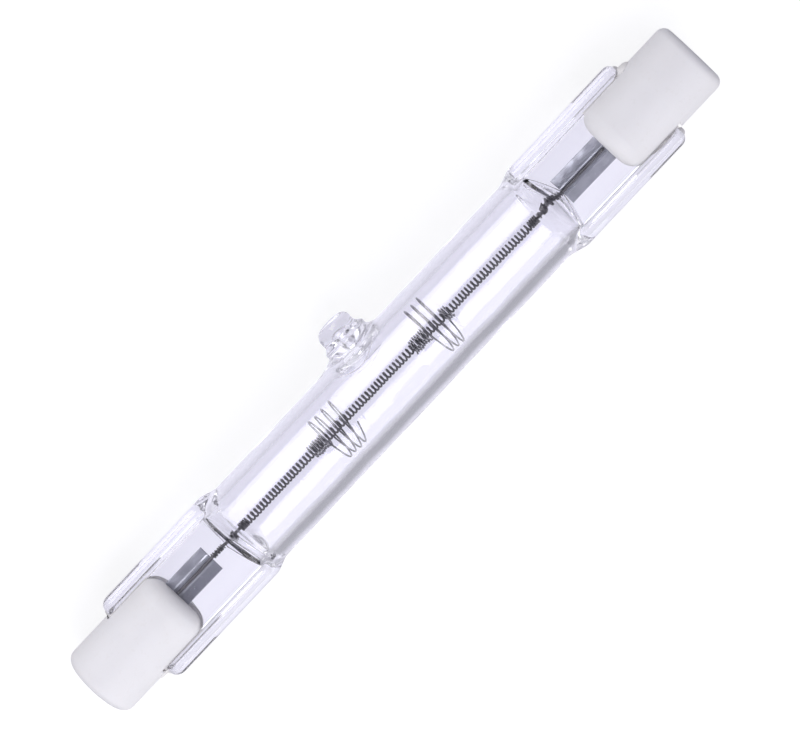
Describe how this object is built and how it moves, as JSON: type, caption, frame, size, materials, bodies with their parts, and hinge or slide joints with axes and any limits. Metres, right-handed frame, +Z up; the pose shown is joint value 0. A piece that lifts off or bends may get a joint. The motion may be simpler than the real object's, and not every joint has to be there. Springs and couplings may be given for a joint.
{
  "type": "linear halogen bulb",
  "caption": "Double-ended linear halogen bulb: clear quartz tube with a coiled filament on spiral supports, flat pinch seals and recessed contacts in white ceramic caps.",
  "frame": {"origin": "light centre: the middle of the lamp on the tube's axis, halfway between the two cap faces", "axes": "+X along the tube to the cap whose side the exhaust tip is nearer to, +Z up as the loose lamp lies on its tube and the edge of its exhaust tip, -Y to the side on which the tip stands out"},
  "size_m": [0.0782, 0.0123, 0.0088],
  "materials": {
    "quartz": "clear and smooth, with faint drawing marks at the seals",
    "tungsten": "dark drawn wire",
    "molybdenum": "satin rolled foil and rod",
    "cap_ceramic": "matt, unglazed, off-white",
    "cement": "matt, grainy, cream-white",
    "nickel": "satin nickel plate"
  },
  "bodies": {
    "root": {"quartz_envelope": "quartz", "filament_coil": "tungsten", "single_spiral_support": "tungsten", "double_spiral_support": "tungsten", "molybdenum_foil_right": "molybdenum", "molybdenum_foil_left": "molybdenum", "inner_lead_right": "tungsten", "inner_lead_left": "tungsten", "lead_wrap_right": "tungsten", "lead_wrap_left": "tungsten", "outer_lead_right": "molybdenum", "outer_lead_left": "molybdenum", "contact_button_right": "nickel", "contact_button_left": "nickel", "ceramic_cap_right": "cap_ceramic", "ceramic_cap_left": "cap_ceramic", "cap_cement_right": "cement", "cap_cement_left": "cement"}
  },
  "joints": []
}
